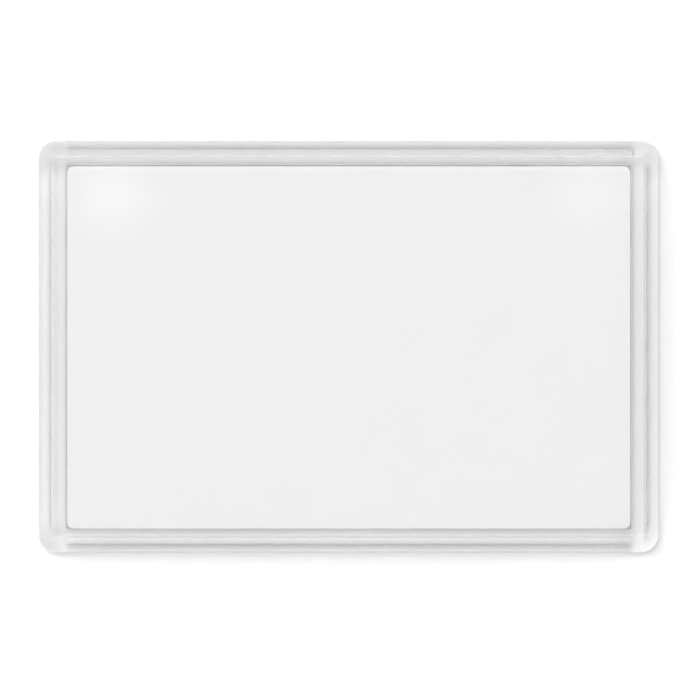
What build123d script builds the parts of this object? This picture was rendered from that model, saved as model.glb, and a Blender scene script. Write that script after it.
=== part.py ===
from build123d import *
import os
from math import radians, tan

# Magnetic photo frame for one small print, as it hangs on a steel door.
# X runs along its length and Z up its height. The front looks towards -Y, and the face of the
# magnet lies at Y = 0, so a station below is a distance forwards from the door.
# All lengths are in millimetres and all angles in degrees.

# The print, a standard cut size
insert_width = 70.0
insert_height = 45.0
insert_thickness = 0.25
insert_corner_radius = 0.85

# The clear front cover
frame_depth = 7.0
lens_thickness = 2.8
end_wall = 3.4
long_wall = 2.9
bevel_width = 2.0
bevel_depth = 1.8
bevel_crown = 0.06
crease_corner_radius = 0.25
crease_round = 0.5
crease_land = 0.2
shoulder_round = 0.7
wall_draft = 0.75
rear_edge_round = 0.25

# The hollow behind the lens
floor_corner_radius = 0.3
cove_radius = 0.06
cavity_draft = 0.75
mouth_chamfer = 0.05

# The clear back plate
panel_thickness = 1.6
skirt_thickness = 1.2
skirt_draft = 1.0
hollow_corner_radius = 1.0
hollow_cove = 0.3
stiffener_thickness = 0.9
grip_length = 3.0
grip_depth = 2.0
grip_height = 0.07
plate_edge_round = 0.15

# The coin slot in the back plate's lower edge
coin_radius = 11.5
coin_slot_depth = 1.0
coin_slot_width = 1.3

# The magnet and its adhesive
magnet_width = 60.0
magnet_height = 35.0
magnet_thickness = 0.8
magnet_corner_radius = 2.0
magnet_proud = 0.3
film_thickness = 0.1
film_margin = 0.5

# Clearances, and the overrun of every cut past the face that it opens
insert_side_clearance = 0.1
insert_rest_gap = 0.03
face_clearance = 0.01
skirt_clearance = 0.1
stiffener_clearance = 0.05
magnet_clearance = 0.2
overrun = 1.0

# Places from the middle of an edge, as shares of that edge
grip_place_share = 0.3
stiffener_place_share = 0.17

# Stations forwards from the door
rim_station = magnet_proud
film_back = magnet_thickness
film_front = film_back + film_thickness
panel_front = rim_station + panel_thickness
lens_back = frame_depth - lens_thickness
insert_front = lens_back - face_clearance
insert_back = insert_front - insert_thickness
skirt_front = insert_back - face_clearance

# Sizes that follow
cover_depth = frame_depth - rim_station
shoulder_height = cover_depth - bevel_depth
outer_corner_radius = bevel_width + crease_corner_radius
cove_reach = cove_radius * tan(radians((90 - cavity_draft) / 2))
cavity_spread = cove_reach + (lens_back - rim_station) * tan(radians(cavity_draft))
mouth_width = insert_width + 2 * (insert_side_clearance + cavity_spread)
mouth_height = insert_height + 2 * (insert_side_clearance + cavity_spread)
mouth_corner_radius = floor_corner_radius + cavity_spread
frame_width = mouth_width + 2 * end_wall
frame_height = mouth_height + 2 * long_wall
plate_width = mouth_width - 2 * skirt_clearance
plate_height = mouth_height - 2 * skirt_clearance
hollow_width = plate_width - 2 * skirt_thickness
hollow_height = plate_height - 2 * skirt_thickness


# A plane that looks forwards from the door, at a station.
def plane_at(station):
    return Plane.XZ.offset(station)


# A block with rounded corners between two stations. A draft draws it in towards the front.
def rounded_block(width, height, corner_radius, back, front, draft=0):
    outline = plane_at(back) * RectangleRounded(width, height, corner_radius)
    return extrude(outline, front - back, taper=draft)


# A square bar along an axis of the plate, between two stations.
def bar(width, height, back, front):
    return extrude(plane_at(back) * Rectangle(width, height), front - back)


# The drafted form of the cover's hollow, its front edge rounded by the cove. A clearance draws
# its sides in, so the back plate's outside nests in the hollow at any size.
def nesting_form(clearance, front):
    form = rounded_block(
        mouth_width - 2 * clearance,
        mouth_height - 2 * clearance,
        mouth_corner_radius - clearance,
        rim_station,
        front,
        cavity_draft,
    )
    return fillet(form.edges().group_by(Axis.Y)[0], cove_radius)


# What the rim's profile leaves outside it. U runs inwards from the widest outline and V forwards
# from the rear edge. The profile is a drafted wall, a rounded shoulder, a bevel with a slight
# crown and the crease where the flat front face begins.
def rim_offcut():
    shoulder = (shoulder_height * tan(radians(wall_draft)), shoulder_height)
    crease = (bevel_width, cover_depth)
    land = (bevel_width + crease_land, cover_depth)
    profile = [
        Line(shoulder, (0, 0)),
        Line((0, 0), (land[0], 0)),
        Line((land[0], 0), land),
        Line(land, crease),
        SagittaArc(shoulder, crease, bevel_crown),
    ]
    section = make_face(profile)
    corners = section.vertices()
    section = fillet(corners.sort_by_distance((0, 0))[0], rear_edge_round)
    section = fillet(section.vertices().sort_by_distance(crease)[0], crease_round)
    section = fillet(section.vertices().sort_by_distance(shoulder)[0], shoulder_round)
    around = Pos(-overrun, -overrun) * Rectangle(
        land[0] + overrun, cover_depth + 2 * overrun, align=(Align.MIN, Align.MIN)
    )
    return around - section


# The clear tray whose floor is the lens. Its rim is one profile led round the outline.
def make_front_cover():
    blank = rounded_block(
        frame_width, frame_height, outer_corner_radius, rim_station, frame_depth
    )
    outline = plane_at(rim_station) * RectangleRounded(
        frame_width, frame_height, outer_corner_radius
    )
    path = outline.wire()
    forwards = plane_at(rim_station).z_dir
    across = Plane(path @ 0, x_dir=forwards.cross(path % 0), z_dir=path % 0)
    cover = blank - sweep(across * rim_offcut(), path=path)
    cover -= nesting_form(0, lens_back)
    mouth = cover.faces().sort_by(Axis.Y)[-1].inner_wires()[0]
    return chamfer(mouth.edges(), mouth_chamfer)


# The printed card or plain paper, which rests on the lower wall of the hollow.
def make_photo_insert():
    card = rounded_block(
        insert_width, insert_height, insert_corner_radius, insert_back, insert_front
    )
    return Pos(0, 0, insert_rest_gap - insert_side_clearance) * card


# Raised pads on the skirt, two a side, which grip the walls of the hollow.
def grip_pads():
    form = nesting_form(skirt_clearance - grip_height, skirt_front)
    back = (rim_station + panel_front) / 2
    bars = []
    for side in (-1, 1):
        x = side * grip_place_share * plate_width
        z = side * grip_place_share * plate_height
        bars.append(Pos(x, 0, 0) * bar(grip_length, mouth_height, back, back + grip_depth))
        bars.append(Pos(0, 0, z) * bar(mouth_width, grip_length, back, back + grip_depth))
    return form & (Part() + bars)


# Stiffeners in the plate's hollow, which keep the middle of the print flat against the lens.
def stiffeners():
    top = skirt_front - stiffener_clearance
    length = hollow_width + skirt_thickness
    height = hollow_height + skirt_thickness
    ribs = [bar(length, stiffener_thickness, panel_front, top)]
    for side in (-1, 1):
        x = side * stiffener_place_share * plate_width
        ribs.append(Pos(x, 0, 0) * bar(stiffener_thickness, height, panel_front, top))
    return Part() + ribs


# The cut of a coin's edge, pushed in between the plate and the cover's lower wall.
def coin_slot():
    cut = Cylinder(coin_radius, coin_slot_width + overrun)
    depth = rim_station + coin_slot_depth - coin_radius
    height = coin_slot_width - plate_height / 2 - (coin_slot_width + overrun) / 2
    return Pos(0, -depth, height) * cut


# The clear plate that closes the frame. Its skirt presses the print's margin on the lens, and
# its rear face has a shallow recess for the magnet.
def make_back_plate():
    plate = nesting_form(skirt_clearance, skirt_front)
    plate = fillet(plate.edges().group_by(Axis.Y)[-1], plate_edge_round)
    plate += grip_pads()
    hollow = rounded_block(
        hollow_width,
        hollow_height,
        hollow_corner_radius,
        panel_front,
        skirt_front + overrun,
        -skirt_draft,
    )
    plate -= fillet(hollow.edges().group_by(Axis.Y)[-1], hollow_cove)
    plate += stiffeners()
    plate -= rounded_block(
        magnet_width + 2 * magnet_clearance,
        magnet_height + 2 * magnet_clearance,
        magnet_corner_radius + magnet_clearance,
        rim_station - overrun,
        film_front,
    )
    return plate - coin_slot()


# The flexible rubber magnet, cut from sheet, which stands a little proud of the plate.
def make_magnet_sheet():
    return rounded_block(magnet_width, magnet_height, magnet_corner_radius, 0, magnet_thickness)


# The double-sided film that holds the magnet in its recess.
def make_adhesive_film():
    return rounded_block(
        magnet_width - 2 * film_margin,
        magnet_height - 2 * film_margin,
        magnet_corner_radius - film_margin,
        film_back,
        film_front,
    )


pieces = {
    "front_cover": make_front_cover(),
    "photo_insert": make_photo_insert(),
    "back_plate": make_back_plate(),
    "magnet_sheet": make_magnet_sheet(),
    "adhesive_film": make_adhesive_film(),
}

os.makedirs("parts", exist_ok=True)
for name, piece in pieces.items():
    piece.label = name
    export_step(piece, f"parts/{name}.step")
    print(name, round(piece.volume, 1), "mm3")
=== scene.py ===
import bpy
import math
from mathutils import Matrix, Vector


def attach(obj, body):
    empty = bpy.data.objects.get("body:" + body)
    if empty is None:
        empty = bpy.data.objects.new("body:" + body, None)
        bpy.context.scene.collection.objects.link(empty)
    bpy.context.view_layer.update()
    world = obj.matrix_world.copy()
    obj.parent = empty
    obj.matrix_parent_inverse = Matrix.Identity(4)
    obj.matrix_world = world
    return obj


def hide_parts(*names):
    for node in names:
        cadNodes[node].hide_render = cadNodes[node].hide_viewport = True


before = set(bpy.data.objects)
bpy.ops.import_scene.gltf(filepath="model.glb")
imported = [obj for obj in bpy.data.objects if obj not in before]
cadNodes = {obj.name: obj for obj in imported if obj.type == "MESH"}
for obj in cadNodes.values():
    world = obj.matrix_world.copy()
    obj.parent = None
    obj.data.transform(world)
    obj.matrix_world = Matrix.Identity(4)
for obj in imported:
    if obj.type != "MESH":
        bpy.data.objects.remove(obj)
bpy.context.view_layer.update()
mm = 0.001
print("frame loaded:", ", ".join(sorted(cadNodes)))


# Node helpers: a value is a number, a colour, a vector or the socket that feeds it

def feed(tree, socket, value):
    if isinstance(value, bpy.types.NodeSocket):
        tree.links.new(value, socket)
    else:
        socket.default_value = value


def addNode(tree, kind, settings=None, inputs=None):
    node = tree.nodes.new(kind)
    for key, value in (settings or {}).items():
        setattr(node, key, value)
    for key, value in (inputs or {}).items():
        feed(tree, node.inputs[key], value)
    return node


def doMath(tree, operation, first, second=0.0, clamp=False):
    settings = {"operation": operation, "use_clamp": clamp}
    return addNode(tree, "ShaderNodeMath", settings, {0: first, 1: second}).outputs[0]


def vectorMath(tree, operation, inputs):
    return addNode(tree, "ShaderNodeVectorMath", {"operation": operation}, inputs).outputs


def xyz(tree, x, y, z=0.0):
    return addNode(tree, "ShaderNodeCombineXYZ", None, {"X": x, "Y": y, "Z": z}).outputs[0]


def rampBetween(tree, value, low, high, outLow=0.0, outHigh=1.0):
    ramp = addNode(tree, "ShaderNodeMapRange", {"interpolation_type": "SMOOTHSTEP"}, {
        "Value": value,
        "From Min": low,
        "From Max": high,
        "To Min": outLow,
        "To Max": outHigh,
    })
    return ramp.outputs["Result"]


# A Mix node has other sockets for each kind: the first value, the second and the result
mixSockets = {"FLOAT": (2, 3, 0), "VECTOR": (4, 5, 1), "RGBA": (6, 7, 2)}


def mixBetween(tree, kind, share, first, second):
    fromSocket, toSocket, resultSocket = mixSockets[kind]
    inputs = {0: share, fromSocket: first, toSocket: second}
    return addNode(tree, "ShaderNodeMix", {"data_type": kind}, inputs).outputs[resultSocket]


def newMaterial(name):
    material = bpy.data.materials.new(name)
    material.use_nodes = True
    material.node_tree.nodes.clear()
    return material, material.node_tree


# Patterns lie on the piece's own coordinates, in grains or cells to a metre. A stretched one has
# its own number along X, Y and Z, and may be turned about Y.

def onObject(tree, stretch=(1.0, 1.0, 1.0), turn=0.0):
    mapping = addNode(tree, "ShaderNodeMapping", None, {
        "Vector": addNode(tree, "ShaderNodeTexCoord").outputs["Object"],
        "Scale": stretch,
        "Rotation": (0.0, turn, 0.0),
    })
    return mapping.outputs["Vector"]


def noiseFrom(tree, look):
    noise = addNode(tree, "ShaderNodeTexNoise", None, {
        "Vector": onObject(tree, look.get("stretch", (1.0, 1.0, 1.0)), look.get("turn", 0.0)),
        "Scale": look.get("scale", 1.0),
        "Detail": look["detail"],
        "Roughness": look["roughness"],
    })
    return noise.outputs["Fac"]


def cellsFrom(tree, scale):
    inputs = {"Vector": onObject(tree), "Scale": scale}
    return addNode(tree, "ShaderNodeTexVoronoi", {"feature": "F1"}, inputs).outputs


def bumpFrom(tree, height, depth, strength=1.0, under=None):
    inputs = {"Height": height, "Distance": depth, "Strength": strength}
    bump = addNode(tree, "ShaderNodeBump", None, inputs)
    if under is not None:
        tree.links.new(under, bump.inputs["Normal"])
    return bump.outputs["Normal"]


def dress(name, material):
    for slot in cadNodes[name].material_slots:
        slot.material = material


# Clear moulded polystyrene: flow waves of the moulding, hairline scratches, specks of dust and,
# on the cover, the dull bloom that handling leaves on its edges

plasticLook = {
    "tint": (0.955, 0.956, 0.954, 1.0),
    "shadowTint": (0.6, 0.605, 0.6, 1.0),
    "depthTint": (0.1, 0.22, 0.17, 1.0),
    "depthDensity": 3.0,
    "ior": 1.59,
    "roughness": 0.006,
    "wave": {"scale": 95.0, "detail": 1.0, "roughness": 0.4},
    "waveDepth": 1.5e-6,
    "haze": {"scale": 40.0, "detail": 4.0, "roughness": 0.6},
    "hazeRoughness": 0.02,
    "hairs": (
        {"stretch": (60.0, 900.0, 2600.0), "turn": 0.5, "detail": 2.0, "roughness": 0.6},
        {"stretch": (2100.0, 900.0, 45.0), "turn": -0.35, "detail": 2.0, "roughness": 0.6},
    ),
    "hairEdges": ((0.72, 0.76), (0.73, 0.77)),
    "hairPatches": {"scale": 70.0, "detail": 3.0, "roughness": 0.6},
    "hairPatchEdge": (0.5, 0.72),
    "scratchRoughness": 0.10,
    "scratchDepth": 5e-7,
    "dustCells": 420.0,
    "dustSize": (0.04, 0.1),
    "dustShare": (0.985, 0.99),
    "dustTint": (0.9, 0.9, 0.89, 1.0),
    "dustRoughness": 0.3,
    "grip": {"scale": 260.0, "detail": 5.0, "roughness": 0.65},
    "gripEdge": (0.45, 0.75),
    "gripRoughness": 0.12,
}


def clearPlastic(name, look, handled):
    material, tree = newMaterial(name)
    wave = noiseFrom(tree, look["wave"])
    along, across = (
        rampBetween(tree, noiseFrom(tree, hair), *edge)
        for hair, edge in zip(look["hairs"], look["hairEdges"])
    )
    patches = rampBetween(tree, noiseFrom(tree, look["hairPatches"]), *look["hairPatchEdge"])
    scratches = doMath(tree, "MULTIPLY", doMath(tree, "ADD", along, across, True), patches)

    cells = cellsFrom(tree, look["dustCells"])
    near = rampBetween(tree, cells["Distance"], *look["dustSize"], 1.0, 0.0)
    inputs = {"Color": cells["Color"]}
    cellNumber = addNode(tree, "ShaderNodeSeparateColor", None, inputs).outputs[0]
    dust = doMath(tree, "MULTIPLY", near, rampBetween(tree, cellNumber, *look["dustShare"]))

    haze = doMath(tree, "MULTIPLY", noiseFrom(tree, look["haze"]), look["hazeRoughness"])
    scratched = doMath(tree, "MULTIPLY", scratches, look["scratchRoughness"])
    rough = doMath(tree, "ADD", haze, scratched)
    if handled:
        worn = addNode(tree, "ShaderNodeAttribute", {"attribute_name": "edgeWear"}).outputs["Fac"]
        grip = noiseFrom(tree, look["grip"])
        grip = rampBetween(tree, grip, *look["gripEdge"], 0.0, look["gripRoughness"])
        rough = doMath(tree, "ADD", rough, doMath(tree, "MULTIPLY", worn, grip))
    rough = doMath(tree, "ADD", rough, look["roughness"])
    rough = doMath(tree, "ADD", rough, doMath(tree, "MULTIPLY", dust, look["dustRoughness"]), True)

    normal = bumpFrom(tree, wave, look["waveDepth"])
    plastic = addNode(tree, "ShaderNodeBsdfPrincipled", None, {
        "Base Color": mixBetween(tree, "RGBA", dust, look["tint"], look["dustTint"]),
        "Roughness": rough,
        "Normal": bumpFrom(tree, scratches, look["scratchDepth"], 1.0, normal),
        "IOR": look["ior"],
        "Transmission Weight": 1.0,
    })
    shadow = addNode(tree, "ShaderNodeBsdfTransparent", None, {"Color": look["shadowTint"]})
    mix = addNode(tree, "ShaderNodeMixShader")
    path = addNode(tree, "ShaderNodeLightPath")
    tree.links.new(path.outputs["Is Shadow Ray"], mix.inputs[0])
    tree.links.new(plastic.outputs[0], mix.inputs[1])
    tree.links.new(shadow.outputs[0], mix.inputs[2])
    depth = {"Color": look["depthTint"], "Density": look["depthDensity"]}
    depth = addNode(tree, "ShaderNodeVolumeAbsorption", None, depth)
    outputs = {"Surface": mix.outputs[0], "Volume": depth.outputs[0]}
    addNode(tree, "ShaderNodeOutputMaterial", None, outputs)
    return material


coverPlastic = clearPlastic("coverPlastic", plasticLook, True)
dress("back_plate", clearPlastic("platePlastic", plasticLook, False))
print("clear plastic ready")


# Smooth white card of the insert, with faint fibres

cardLook = {
    "white": (0.9, 0.9, 0.9, 1.0),
    "shade": (0.884, 0.884, 0.882, 1.0),
    "shadeShare": 0.6,
    "shadeEdge": (0.7, 1.35),
    "cloud": {"scale": 160.0, "detail": 5.0, "roughness": 0.6},
    "fibres": (
        {"stretch": (900.0, 2600.0, 4200.0), "turn": 0.3, "detail": 3.0, "roughness": 0.6},
        {"stretch": (3900.0, 2600.0, 1000.0), "turn": -0.4, "detail": 3.0, "roughness": 0.6},
    ),
    "feltEdge": (0.3, 0.7),
    "roughness": (0.52, 0.68),
    "fibreDepth": 1.2e-5,
    "fibreStrength": 0.5,
    "specular": 0.35,
}


def insertCard(look):
    material, tree = newMaterial("insertCard")
    along, across = (noiseFrom(tree, fibres) for fibres in look["fibres"])
    felt = doMath(tree, "MULTIPLY", doMath(tree, "ADD", along, across), 0.5)
    uneven = doMath(tree, "ADD", noiseFrom(tree, look["cloud"]), felt)
    uneven = rampBetween(tree, uneven, *look["shadeEdge"])
    share = doMath(tree, "MULTIPLY", uneven, look["shadeShare"])
    card = addNode(tree, "ShaderNodeBsdfPrincipled", None, {
        "Base Color": mixBetween(tree, "RGBA", share, look["white"], look["shade"]),
        "Roughness": rampBetween(tree, felt, *look["feltEdge"], *look["roughness"]),
        "Normal": bumpFrom(tree, felt, look["fibreDepth"], look["fibreStrength"]),
        "Specular IOR Level": look["specular"],
    })
    addNode(tree, "ShaderNodeOutputMaterial", None, {"Surface": card.outputs[0]})
    return material


dress("photo_insert", insertCard(cardLook))


# Flexible magnet: ferrite powder in rubber, calendered, so fine rolling lines run along it

magnetLook = {
    "black": (0.045, 0.043, 0.041, 1.0),
    "dusty": (0.085, 0.082, 0.078, 1.0),
    "bloom": {"scale": 95.0, "detail": 5.0, "roughness": 0.62},
    "bloomEdge": (0.42, 0.8),
    "bloomShare": 0.55,
    "rolled": {"stretch": (25.0, 1400.0, 3400.0), "detail": 3.0, "roughness": 0.6},
    "rollDepth": 1.4e-5,
    "rollStrength": 0.8,
    "grain": {"scale": 5200.0, "detail": 3.0, "roughness": 0.7},
    "grainEdge": (0.62, 0.8),
    "grainShare": 0.45,
    "grainDepth": 9e-6,
    "grainStrength": 0.6,
    "dullEdge": (0.7, 1.3),
    "roughness": (0.55, 0.82),
    "specular": 0.4,
}


def magnetRubber(look):
    material, tree = newMaterial("magnetRubber")
    rolled = noiseFrom(tree, look["rolled"])
    grain = noiseFrom(tree, look["grain"])
    bloom = noiseFrom(tree, look["bloom"])
    bloom = rampBetween(tree, bloom, *look["bloomEdge"], 0.0, look["bloomShare"])
    powder = rampBetween(tree, grain, *look["grainEdge"], 0.0, look["grainShare"])
    share = doMath(tree, "ADD", bloom, powder, True)
    uneven = doMath(tree, "ADD", rolled, grain)
    lines = bumpFrom(tree, rolled, look["rollDepth"], look["rollStrength"])
    rubber = addNode(tree, "ShaderNodeBsdfPrincipled", None, {
        "Base Color": mixBetween(tree, "RGBA", share, look["black"], look["dusty"]),
        "Roughness": rampBetween(tree, uneven, *look["dullEdge"], *look["roughness"]),
        "Normal": bumpFrom(tree, grain, look["grainDepth"], look["grainStrength"], lines),
        "Specular IOR Level": look["specular"],
    })
    addNode(tree, "ShaderNodeOutputMaterial", None, {"Surface": rubber.outputs[0]})
    return material


dress("magnet_sheet", magnetRubber(magnetLook))


# Double-sided film: milky tissue with small trapped bubbles

filmLook = {
    "milky": (0.80, 0.79, 0.73, 1.0),
    "bubble": (0.66, 0.65, 0.60, 1.0),
    "bubbleCells": 900.0,
    "bubbleSize": (0.12, 0.3),
    "bubbleShare": 0.5,
    "bubbleDepth": 1e-5,
    "bubbleStrength": 0.6,
    "tissue": {"stretch": (1200.0, 1200.0, 300.0), "turn": 0.4, "detail": 4.0, "roughness": 0.6},
    "tissueEdge": (0.45, 0.75),
    "tissueShare": 0.4,
    "dullEdge": (0.3, 0.7),
    "roughness": (0.3, 0.5),
}


def filmAdhesive(look):
    material, tree = newMaterial("filmAdhesive")
    cells = cellsFrom(tree, look["bubbleCells"])
    bubbles = rampBetween(tree, cells["Distance"], *look["bubbleSize"], 1.0, 0.0)
    tissue = noiseFrom(tree, look["tissue"])
    share = rampBetween(tree, tissue, *look["tissueEdge"], 0.0, look["tissueShare"])
    bubbled = doMath(tree, "MULTIPLY", bubbles, look["bubbleShare"])
    share = doMath(tree, "ADD", bubbled, share, True)
    film = addNode(tree, "ShaderNodeBsdfPrincipled", None, {
        "Base Color": mixBetween(tree, "RGBA", share, look["milky"], look["bubble"]),
        "Roughness": rampBetween(tree, tissue, *look["dullEdge"], *look["roughness"]),
        "Normal": bumpFrom(tree, bubbles, look["bubbleDepth"], look["bubbleStrength"]),
    })
    addNode(tree, "ShaderNodeOutputMaterial", None, {"Surface": film.outputs[0]})
    return material


# The CAD film's front lies on the plate's clear recess, where rays that leave the plate would
# miss it. The same form is built again here, a little way inside its CAD faces.

filmSizes = {
    "width": 59.0 * mm,
    "height": 34.0 * mm,
    "cornerRadius": 1.5 * mm,
    "front": 0.9 * mm,
    "back": 0.8 * mm,
    "inset": 0.005 * mm,
    "cornerSteps": 12,
}


def makeFilm(sizes, material):
    ring = []
    radius = sizes["cornerRadius"] - sizes["inset"]
    for quarter in range(4):
        middle = (quarter + 0.5) * math.pi / 2
        across = math.copysign(sizes["width"] / 2 - sizes["cornerRadius"], math.cos(middle))
        up = math.copysign(sizes["height"] / 2 - sizes["cornerRadius"], math.sin(middle))
        for step in range(sizes["cornerSteps"] + 1):
            angle = (quarter + step / sizes["cornerSteps"]) * math.pi / 2
            ring.append((across + radius * math.cos(angle), up + radius * math.sin(angle)))
    count = len(ring)
    stations = (sizes["inset"] - sizes["front"], -sizes["back"] - sizes["inset"])
    points = [(x, station, z) for station in stations for x, z in ring]
    faces = [tuple(range(count)), tuple(range(2 * count - 1, count - 1, -1))]
    for start in range(count):
        end = (start + 1) % count
        faces.append((start, start + count, end + count, end))
    mesh = bpy.data.meshes.new("filmSheet")
    mesh.from_pydata(points, [], faces)
    mesh.materials.append(material)
    film = bpy.data.objects.new("filmSheet", mesh)
    bpy.context.scene.collection.objects.link(film)
    return film


filmSheet = makeFilm(filmSizes, filmAdhesive(filmLook))
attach(filmSheet, "back")
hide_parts("adhesive_film")
print("card, magnet and film dressed")


# Front cover: one profile, with its rounds, led round two rounded rectangles by Geometry Nodes.
# A point of the profile says how far it stands inside its rectangle (x) and ahead of the rear
# edge (y).

coverSizes = {
    "Frame Width": 77.2205 * mm,
    "Frame Height": 51.2205 * mm,
    "Corner Radius": 2.25 * mm,
    "Rim Station": 0.3 * mm,
    "Cover Depth": 6.7 * mm,
    "Bevel Width": 2.0 * mm,
    "Bevel Depth": 1.8 * mm,
    "Bevel Crown": 0.06 * mm,
    "Crown Lift": 1.75,  # how many crowns the bevel's middle corner stands out before its round
    "Crown Round": 12.0 * mm,
    "Wall Draft": math.radians(0.75),
    "Shoulder Round": 0.7 * mm,
    "Crease Round": 0.5 * mm,
    "Crease Land": 0.2 * mm,
    "Rear Round": 0.25 * mm,
    "Rear Land": 0.4 * mm,
    "Mouth Width": 70.4206 * mm,
    "Mouth Height": 45.4206 * mm,
    "Mouth Corner": 0.4103 * mm,
    "Mouth Chamfer": 0.01 * mm,
    "Hollow Depth": 3.9 * mm,
    "Cavity Draft": math.radians(0.75),
    "Cove Round": 0.06 * mm,
    "Floor Land": 0.05 * mm,
    "Crease Wear": 1.0,  # how dull a round is from handling, from 0 to 1
    "Shoulder Wear": 0.7,
    "Rear Wear": 1.0,
    "Mouth Wear": 0.4,
    "Chamfer Wear": 0.2,
    "Merge Within": 0.0004 * mm,
    "Sharp Angle": math.radians(25),
    "Round Steps": 7,
    "Corner Steps": 20,
}


def newTree(name, inputs, outputs):
    tree = bpy.data.node_groups.new(name, "GeometryNodeTree")
    for label, kind in inputs:
        tree.interface.new_socket(label, in_out="INPUT", socket_type=kind)
    for label, kind in outputs:
        tree.interface.new_socket(label, in_out="OUTPUT", socket_type=kind)
    given = addNode(tree, "NodeGroupInput").outputs
    return tree, given, addNode(tree, "NodeGroupOutput").inputs


def wholeMath(tree, operation, first, second):
    inputs = {0: first, 1: second}
    return addNode(tree, "FunctionNodeIntegerMath", {"operation": operation}, inputs).outputs[0]


# A step along a rounded rectangle: four corners of evenly spaced points, joined by straight sides
def outlineGroup():
    number, whole = "NodeSocketFloat", "NodeSocketInt"
    inputs = [("Step", whole), ("Corner Steps", whole)]
    inputs += [("Half Width", number), ("Half Height", number), ("Radius", number)]
    tree, given, result = newTree("roundedOutline", inputs, [("Across", number), ("Up", number)])
    perCorner = wholeMath(tree, "ADD", given["Corner Steps"], 1)
    corner = wholeMath(tree, "DIVIDE_FLOOR", given["Step"], perCorner)
    corner = wholeMath(tree, "MODULO", corner, 4)
    turn = wholeMath(tree, "MODULO", given["Step"], perCorner)
    turn = doMath(tree, "DIVIDE", turn, given["Corner Steps"])
    angle = doMath(tree, "MULTIPLY", doMath(tree, "ADD", corner, turn), math.pi / 2)
    middle = doMath(tree, "MULTIPLY", doMath(tree, "ADD", corner, 0.5), math.pi / 2)
    for label, wave, half in (("Across", "COSINE", "Half Width"), ("Up", "SINE", "Half Height")):
        side = doMath(tree, "SIGN", doMath(tree, wave, middle))
        straight = doMath(tree, "SUBTRACT", given[half], given["Radius"])
        centre = doMath(tree, "MULTIPLY", side, straight)
        reach = doMath(tree, "MULTIPLY", given["Radius"], doMath(tree, wave, angle))
        tree.links.new(doMath(tree, "ADD", centre, reach), result[label])
    return tree


# A polyline with one rounded corner for each entry of the corners, which hold a place, the
# radius of the round there, whether it lies on the mouth's rectangle, and how worn it is
def profileCurve(tree, corners, index, roundSteps):
    places, rounds, onMouths, wears = zip(*corners)

    def perCorner(kind, values):
        switch = addNode(tree, "GeometryNodeIndexSwitch", {"data_type": kind})
        while len(switch.index_switch_items) < len(values):
            switch.index_switch_items.new()
        tree.links.new(index, switch.inputs["Index"])
        for number, value in enumerate(values):
            feed(tree, switch.inputs[str(number)], value)
        return switch.outputs[0]

    points = addNode(tree, "GeometryNodeMeshLine", None, {"Count": len(corners)}).outputs[0]
    kept = {"data_type": "FLOAT", "domain": "POINT"}
    for label, values in (("onMouth", onMouths), ("edgeWear", wears)):
        inputs = {"Geometry": points, "Name": label, "Value": perCorner("FLOAT", values)}
        points = addNode(tree, "GeometryNodeStoreNamedAttribute", kept, inputs).outputs[0]
    inputs = {"Geometry": points, "Position": perCorner("VECTOR", places)}
    points = addNode(tree, "GeometryNodeSetPosition", None, inputs).outputs[0]
    curve = addNode(tree, "GeometryNodeMeshToCurve", None, {"Mesh": points}).outputs[0]
    inputs = {"Curve": curve, "Count": roundSteps, "Radius": perCorner("FLOAT", rounds)}
    return addNode(tree, "GeometryNodeFilletCurve", {"mode": "POLY"}, inputs).outputs[0]


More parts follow.
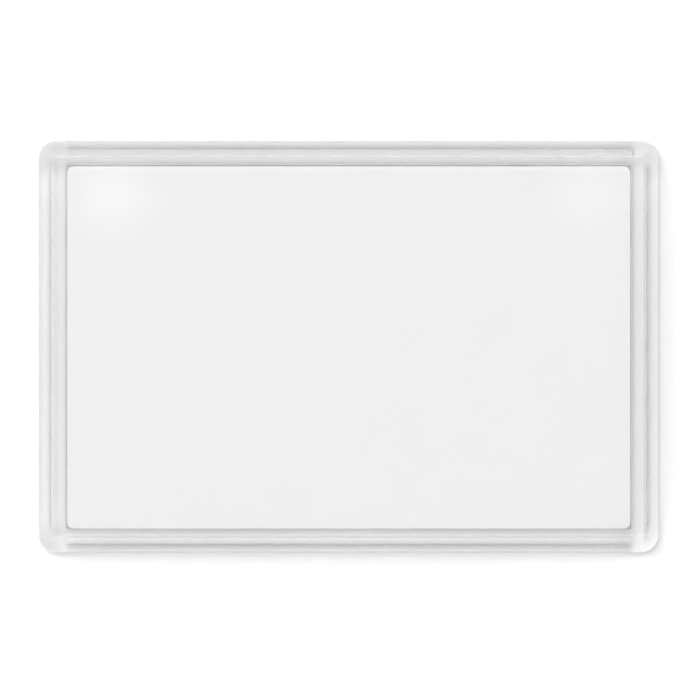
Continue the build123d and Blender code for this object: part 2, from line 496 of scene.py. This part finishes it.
def coverGroup(outline):
    inputs = [
        (label, "NodeSocketInt" if isinstance(value, int) else "NodeSocketFloat")
        for label, value in coverSizes.items()
    ]
    inputs.append(("Material", "NodeSocketMaterial"))
    tree, given, result = newTree("coverTree", inputs, [("Cover", "NodeSocketGeometry")])
    index = addNode(tree, "GeometryNodeInputIndex").outputs[0]

    # corners of the profile, from the front face over the bevel and wall to the hollow's floor
    shoulderUp = doMath(tree, "SUBTRACT", given["Cover Depth"], given["Bevel Depth"])
    shoulderIn = doMath(tree, "MULTIPLY", shoulderUp, doMath(tree, "TANGENT", given["Wall Draft"]))
    shoulder = xyz(tree, shoulderIn, shoulderUp)
    crease = xyz(tree, given["Bevel Width"], given["Cover Depth"])
    run = vectorMath(tree, "SUBTRACT", {0: crease, 1: shoulder})["Vector"]
    outward = vectorMath(tree, "CROSS_PRODUCT", {0: (0.0, 0.0, 1.0), 1: run})["Vector"]
    outward = vectorMath(tree, "NORMALIZE", {0: outward})["Vector"]
    lift = doMath(tree, "MULTIPLY", given["Bevel Crown"], given["Crown Lift"])
    lift = vectorMath(tree, "SCALE", {0: outward, "Scale": lift})["Vector"]
    halfway = mixBetween(tree, "VECTOR", 0.5, shoulder, crease)
    crown = vectorMath(tree, "ADD", {0: halfway, 1: lift})["Vector"]
    landIn = doMath(tree, "ADD", given["Bevel Width"], given["Crease Land"])
    inPerDepth = doMath(tree, "TANGENT", given["Cavity Draft"])
    wallIn = doMath(tree, "MULTIPLY", given["Hollow Depth"], inPerDepth)
    floorIn = doMath(tree, "ADD", wallIn, given["Cove Round"])
    floorIn = doMath(tree, "ADD", floorIn, given["Floor Land"])
    chamferOut = doMath(tree, "MULTIPLY", given["Mouth Chamfer"], -1.0)
    chamferIn = doMath(tree, "MULTIPLY", given["Mouth Chamfer"], inPerDepth)
    profile = profileCurve(tree, [
        (xyz(tree, landIn, given["Cover Depth"]), 0.0, 0.0, 0.0),
        (crease, given["Crease Round"], 0.0, given["Crease Wear"]),
        (crown, given["Crown Round"], 0.0, 0.0),
        (shoulder, given["Shoulder Round"], 0.0, given["Shoulder Wear"]),
        (xyz(tree, 0.0, 0.0), given["Rear Round"], 0.0, given["Rear Wear"]),
        (xyz(tree, given["Rear Land"], 0.0), 0.0, 0.0, 0.0),
        (xyz(tree, chamferOut, 0.0), 0.0, 1.0, given["Mouth Wear"]),
        (xyz(tree, chamferIn, given["Mouth Chamfer"]), 0.0, 1.0, given["Chamfer Wear"]),
        (xyz(tree, wallIn, given["Hollow Depth"]), given["Cove Round"], 1.0, 0.0),
        (xyz(tree, floorIn, given["Hollow Depth"]), 0.0, 1.0, 0.0),
    ], index, given["Round Steps"])

    # the profile's points against the outline's steps, as one grid
    stations = addNode(
        tree, "GeometryNodeAttributeDomainSize", {"component": "CURVE"}, {"Geometry": profile}
    ).outputs["Point Count"]
    around = wholeMath(tree, "ADD", given["Corner Steps"], 1)
    around = wholeMath(tree, "MULTIPLY", around, 4)
    columns = wholeMath(tree, "ADD", around, 1)
    inputs = {"Vertices X": stations, "Vertices Y": columns}
    grid = addNode(tree, "GeometryNodeMeshGrid", None, inputs).outputs["Mesh"]
    row = wholeMath(tree, "DIVIDE_FLOOR", index, columns)
    step = wholeMath(tree, "MODULO", index, columns)

    def fromProfile(kind, value):
        settings = {"data_type": kind, "domain": "POINT"}
        inputs = {"Geometry": profile, "Index": row}
        sample = addNode(tree, "GeometryNodeSampleIndex", settings, inputs)
        tree.links.new(value, sample.inputs["Value"])
        return sample.outputs[0]

    def named(label):
        settings, inputs = {"data_type": "FLOAT"}, {"Name": label}
        node = addNode(tree, "GeometryNodeInputNamedAttribute", settings, inputs)
        return node.outputs["Attribute"]

    def ringPlace(inset, onMouth, ahead, stepSocket):
        def reach(outer, mouth, share):
            size = mixBetween(tree, "FLOAT", onMouth, given[outer], given[mouth])
            return doMath(tree, "SUBTRACT", doMath(tree, "MULTIPLY", size, share), inset)

        ring = addNode(tree, "GeometryNodeGroup", {"node_tree": outline}, {
            "Step": stepSocket,
            "Corner Steps": given["Corner Steps"],
            "Half Width": reach("Frame Width", "Mouth Width", 0.5),
            "Half Height": reach("Frame Height", "Mouth Height", 0.5),
            "Radius": reach("Corner Radius", "Mouth Corner", 1.0),
        })
        back = doMath(tree, "MULTIPLY", doMath(tree, "ADD", ahead, given["Rim Station"]), -1.0)
        return xyz(tree, ring.outputs["Across"], back, ring.outputs["Up"])

    position = addNode(tree, "GeometryNodeInputPosition").outputs[0]
    sampled = {0: fromProfile("FLOAT_VECTOR", position)}
    sampled = addNode(tree, "ShaderNodeSeparateXYZ", None, sampled).outputs
    place = ringPlace(sampled["X"], fromProfile("FLOAT", named("onMouth")), sampled["Y"], step)
    settings = {"data_type": "FLOAT", "domain": "POINT"}
    worn = fromProfile("FLOAT", named("edgeWear"))
    inputs = {"Geometry": grid, "Name": "edgeWear", "Value": worn}
    skin = addNode(tree, "GeometryNodeStoreNamedAttribute", settings, inputs).outputs[0]
    inputs = {"Geometry": skin, "Position": place}
    skin = addNode(tree, "GeometryNodeSetPosition", None, inputs).outputs[0]

    # flat ends: the front face and the lens's rear face
    def flatEnd(inset, onMouth, ahead):
        inputs = {"Vertices": around}
        flat = addNode(tree, "GeometryNodeMeshCircle", {"fill_type": "NGON"}, inputs).outputs[0]
        inputs = {"Geometry": flat, "Position": ringPlace(inset, onMouth, ahead, index)}
        return addNode(tree, "GeometryNodeSetPosition", None, inputs).outputs[0]

    frontFace = flatEnd(landIn, 0.0, given["Cover Depth"])
    lensBack = {"Mesh": flatEnd(floorIn, 1.0, given["Hollow Depth"])}
    lensBack = addNode(tree, "GeometryNodeFlipFaces", None, lensBack).outputs[0]
    joined = addNode(tree, "GeometryNodeJoinGeometry")
    for part in (skin, frontFace, lensBack):
        tree.links.new(part, joined.inputs[0])
    inputs = {"Geometry": joined.outputs[0], "Distance": given["Merge Within"]}
    whole = addNode(tree, "GeometryNodeMergeByDistance", None, inputs).outputs[0]
    angle = addNode(tree, "GeometryNodeInputMeshEdgeAngle").outputs["Unsigned Angle"]
    sharp = doMath(tree, "GREATER_THAN", angle, given["Sharp Angle"])
    inputs = {"Geometry": whole, "Selection": sharp, "Shade Smooth": False}
    whole = addNode(tree, "GeometryNodeSetShadeSmooth", {"domain": "EDGE"}, inputs).outputs[0]
    whole = addNode(tree, "GeometryNodeRealizeInstances", None, {"Geometry": whole}).outputs[0]
    inputs = {"Geometry": whole, "Material": given["Material"]}
    whole = addNode(tree, "GeometryNodeSetMaterial", None, inputs).outputs[0]
    tree.links.new(whole, result["Cover"])
    return tree


def makeCover():
    tree = coverGroup(outlineGroup())
    cover = bpy.data.objects.new("clearCover", bpy.data.meshes.new("clearCover"))
    bpy.context.scene.collection.objects.link(cover)
    loft = cover.modifiers.new("coverTree", "NODES")
    loft.node_group = tree
    items = [item for item in tree.interface.items_tree if item.in_out == "INPUT"]
    sockets = {item.name: item.identifier for item in items}
    for label, value in coverSizes.items():
        loft[sockets[label]] = value
    loft[sockets["Material"]] = coverPlastic
    flats = cover.modifiers.new("evenFlats", "WEIGHTED_NORMAL")  # keeps flats even by their rounds
    flats.keep_sharp = True
    evaluated = cover.evaluated_get(bpy.context.evaluated_depsgraph_get())
    finished = bpy.data.meshes.new_from_object(evaluated)
    cover.modifiers.clear()
    cover.data = finished
    return cover


clearCover = makeCover()
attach(clearCover, "cover")
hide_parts("front_cover")
print("cover made:", len(clearCover.data.polygons), "faces")


# Stage: a white panel just behind the frame, seen from its front only, and a pale floor below

def addPlane(name, corners, material):
    mesh = bpy.data.meshes.new(name)
    mesh.from_pydata(corners, [], [(0, 1, 2, 3)])
    plane = bpy.data.objects.new(name, mesh)
    bpy.context.scene.collection.objects.link(plane)
    mesh.materials.append(material)
    return plane


stageLook = {
    "panelSize": 0.5,
    "panelGap": 0.05 * mm,
    "panelColour": (1.0, 1.0, 1.0, 1.0),
    "floorSize": 3.0,
    "floorDrop": 0.115,
    "floorColour": (0.9, 0.9, 0.895, 1.0),
    # painted contact shadow: how dark, how far and to which side the panel's colour is shaded
    # beside the frame, from ambient occlusion
    "contactShade": {
        "colour": (0.0, 0.0, 0.0, 1.0),
        "reach": 1.1 * mm,
        "lean": (-0.45, -0.6, 0.65),
        "hidden": (0.12, 0.75),
        "strength": 0.58,
    },
}


# The panel shows to the camera, in reflections and through the plastic, and lets every other ray
# pass, so that the world behind it lights the frame. A painted contact shadow darkens its colour
# beside the frame, for the camera only, on the side away from its lean to the upper left.
def panelWhite(look):
    material, tree = newMaterial("panelWhite")
    shade = look["contactShade"]
    path = addNode(tree, "ShaderNodeLightPath").outputs
    near = {"Distance": shade["reach"], "Normal": xyz(tree, *shade["lean"])}
    near = addNode(tree, "ShaderNodeAmbientOcclusion", None, near).outputs["AO"]
    # painted shadow: the occluded share mixes the shadow colour into the panel's colour, for
    # camera rays only
    hidden = doMath(tree, "SUBTRACT", 1.0, near)
    hidden = rampBetween(tree, hidden, *shade["hidden"], 0.0, shade["strength"])
    share = doMath(tree, "MULTIPLY", hidden, path["Is Camera Ray"])
    colour = mixBetween(tree, "RGBA", share, look["panelColour"], shade["colour"])
    white = addNode(tree, "ShaderNodeBsdfDiffuse", None, {"Color": colour})
    clear = addNode(tree, "ShaderNodeBsdfTransparent")
    seen = doMath(tree, "ADD", path["Is Camera Ray"], path["Is Transmission Ray"])
    seen = doMath(tree, "ADD", seen, path["Is Glossy Ray"], True)
    behind = addNode(tree, "ShaderNodeNewGeometry").outputs["Backfacing"]
    mix = addNode(tree, "ShaderNodeMixShader")
    shown = doMath(tree, "MULTIPLY", seen, doMath(tree, "SUBTRACT", 1.0, behind))
    tree.links.new(shown, mix.inputs[0])
    tree.links.new(clear.outputs[0], mix.inputs[1])
    tree.links.new(white.outputs[0], mix.inputs[2])
    addNode(tree, "ShaderNodeOutputMaterial", None, {"Surface": mix.outputs[0]})
    return material


def floorPale(look):
    material, tree = newMaterial("floorPale")
    pale = addNode(tree, "ShaderNodeBsdfDiffuse", None, {"Color": look["floorColour"]})
    addNode(tree, "ShaderNodeOutputMaterial", None, {"Surface": pale.outputs[0]})
    return material


def addStage(look):
    low, gap = -look["floorDrop"], look["panelGap"]
    side = look["panelSize"] / 2
    corners = [(-side, gap, low), (side, gap, low), (side, gap, side), (-side, gap, side)]
    addPlane("backPanel", corners, panelWhite(look))
    side = look["floorSize"] / 2
    corners = [(-side, -side, low), (side, -side, low), (side, side, low), (-side, side, low)]
    addPlane("floor", corners, floorPale(look))


addStage(stageLook)


# Light: a world that is bright all round, dim behind the camera and brightest at the upper left,
# a small key lamp there, and a lamp above whose light shows as gleams only. An angle is from the
# frame's front axis, and a turn is round that axis from the right, both in degrees.

worldLook = {
    "white": (1.0, 1.0, 1.0, 1.0),
    "level": 0.84,
    "right": 0.55,
    "left": 0.4,
    "sideReach": 0.9,
    "front": 0.02,
    "frontAngles": (18.0, 42.0),
    "upper": {"angle": 24.0, "turn": 118.0, "spread": (10.0, 30.0), "strength": 1.5},
}

lampLook = {
    "keyLamp": {
        "angle": 13.0, "turn": 128.0, "distance": 1.5, "width": 0.2, "height": 0.2,
        "power": 3.0, "gleamOnly": False,
    },
    "topLamp": {
        "angle": 46.0, "turn": 92.0, "distance": 1.2, "width": 0.42, "height": 0.28,
        "power": 2.0, "gleamOnly": True,
    },
}


def lightDirection(look):
    angle, turn = math.radians(look["angle"]), math.radians(look["turn"])
    outwards = math.sin(angle)
    return Vector((outwards * math.cos(turn), -math.cos(angle), outwards * math.sin(turn)))


def studioWorld(look):
    world = bpy.data.worlds.new("studio")
    world.use_nodes = True
    world.cycles.sampling_method = "NONE"
    tree = world.node_tree
    outwards = addNode(tree, "ShaderNodeTexCoord").outputs["Generated"]
    direction = addNode(tree, "ShaderNodeSeparateXYZ", None, {0: outwards}).outputs
    level, reach = look["level"], look["sideReach"]
    right = rampBetween(tree, direction["X"], 0.0, reach, level, level + look["right"])
    left = rampBetween(tree, direction["X"], -reach, 0.0, look["left"], 0.0)
    ring = doMath(tree, "ADD", right, left)
    inner, outer = (-math.cos(math.radians(angle)) for angle in look["frontAngles"])
    ring = rampBetween(tree, direction["Y"], inner, outer, look["front"], ring)
    upper = look["upper"]
    near = vectorMath(tree, "DOT_PRODUCT", {0: outwards, 1: lightDirection(upper)})["Value"]
    core, edge = (math.cos(math.radians(angle)) for angle in upper["spread"])
    upper = rampBetween(tree, near, edge, core, 0.0, upper["strength"])
    background = tree.nodes["Background"]
    background.inputs["Color"].default_value = look["white"]
    tree.links.new(doMath(tree, "ADD", ring, upper), background.inputs["Strength"])
    return world


def areaLamp(name, look):
    light = bpy.data.lights.new(name, "AREA")
    light.shape = "RECTANGLE"
    light.size = look["width"]
    light.size_y = look["height"]
    light.energy = look["power"]
    lamp = bpy.data.objects.new(name, light)
    bpy.context.scene.collection.objects.link(lamp)
    away = lightDirection(look)
    lamp.location = away * look["distance"]
    lamp.rotation_euler = (-away).to_track_quat("-Z", "Y").to_euler()
    lamp.visible_camera = False
    lamp.visible_transmission = False
    lamp.visible_diffuse = not look["gleamOnly"]
    return lamp


bpy.context.scene.world = studioWorld(worldLook)
for lampName, look in lampLook.items():
    areaLamp(lampName, look)


# Two faint round glows on the lens: soft lights well in front, which only reflections show

glowLook = {
    "distance": 2.0,
    "radius": 12.0 * mm,
    "glows": {
        "glowLeft": {"across": -53.0 * mm, "up": 17.0 * mm, "strength": 1.3},
        "glowRight": {"across": 53.0 * mm, "up": 17.0 * mm, "strength": 0.8},
    },
    "hiddenFrom": ("camera", "diffuse", "transmission", "shadow", "volume_scatter"),
}


def softGlow(name, glow, look):
    material, tree = newMaterial(name)
    fromMiddle = addNode(tree, "ShaderNodeTexCoord").outputs["Object"]
    fromMiddle = vectorMath(tree, "LENGTH", {0: fromMiddle})["Value"]
    fade = rampBetween(tree, fromMiddle, 0.0, look["radius"], glow["strength"], 0.0)
    light = addNode(tree, "ShaderNodeEmission", None, {"Strength": fade}).outputs[0]
    clear = addNode(tree, "ShaderNodeBsdfTransparent").outputs[0]
    both = addNode(tree, "ShaderNodeAddShader", None, {0: light, 1: clear}).outputs[0]
    addNode(tree, "ShaderNodeOutputMaterial", None, {"Surface": both})
    reach = look["radius"]
    corners = [(-reach, 0, -reach), (-reach, 0, reach), (reach, 0, reach), (reach, 0, -reach)]
    plane = addPlane(name, corners, material)
    plane.location = (glow["across"], -look["distance"], glow["up"])
    for kind in look["hiddenFrom"]:
        setattr(plane, "visible_" + kind, False)


for glowName, glow in glowLook["glows"].items():
    softGlow(glowName, glow, glowLook)
print("stage and lamps ready")


# Camera straight in front, as in the photograph: 700 pixels wide, 8.03 pixels to a millimetre

photoLook = {
    "pixels": 700,
    "pixelsPerMm": 8.03,
    "objectCentre": (348.75, 346.5),
    "distance": 2.5,
    "elevation": 0.5,
    "sensorWidth": 36.0,
    "clip": (0.05, 10.0),
}


def addCamera(look):
    data = bpy.data.cameras.new("camera")
    viewWidth = look["pixels"] / look["pixelsPerMm"] * mm
    data.sensor_width = look["sensorWidth"]
    data.lens = look["sensorWidth"] * look["distance"] / viewWidth
    data.clip_start, data.clip_end = look["clip"]
    camera = bpy.data.objects.new("camera", data)
    bpy.context.scene.collection.objects.link(camera)
    right = (look["pixels"] / 2 - look["objectCentre"][0]) / look["pixelsPerMm"] * mm
    up = (look["objectCentre"][1] - look["pixels"] / 2) / look["pixelsPerMm"] * mm
    tilt = math.radians(look["elevation"])
    away, above = look["distance"] * math.cos(tilt), look["distance"] * math.sin(tilt)
    camera.location = (right, -away, up + above)
    camera.rotation_euler = (math.radians(90) - tilt, 0, 0)
    bpy.context.scene.camera = camera
    return camera


addCamera(photoLook)

# Light reaches the card and the panel through the plastic undimmed, after many bounces in it
lightPaths = {
    "blur_glossy": 0.0,
    "transparent_max_bounces": 32,
    "max_bounces": 24,
    "transmission_bounces": 24,
    "glossy_bounces": 12,
    "diffuse_bounces": 8,
}
for setting, value in lightPaths.items():
    setattr(bpy.context.scene.cycles, setting, value)
bpy.context.scene.view_settings.view_transform = "Standard"
print("camera set")
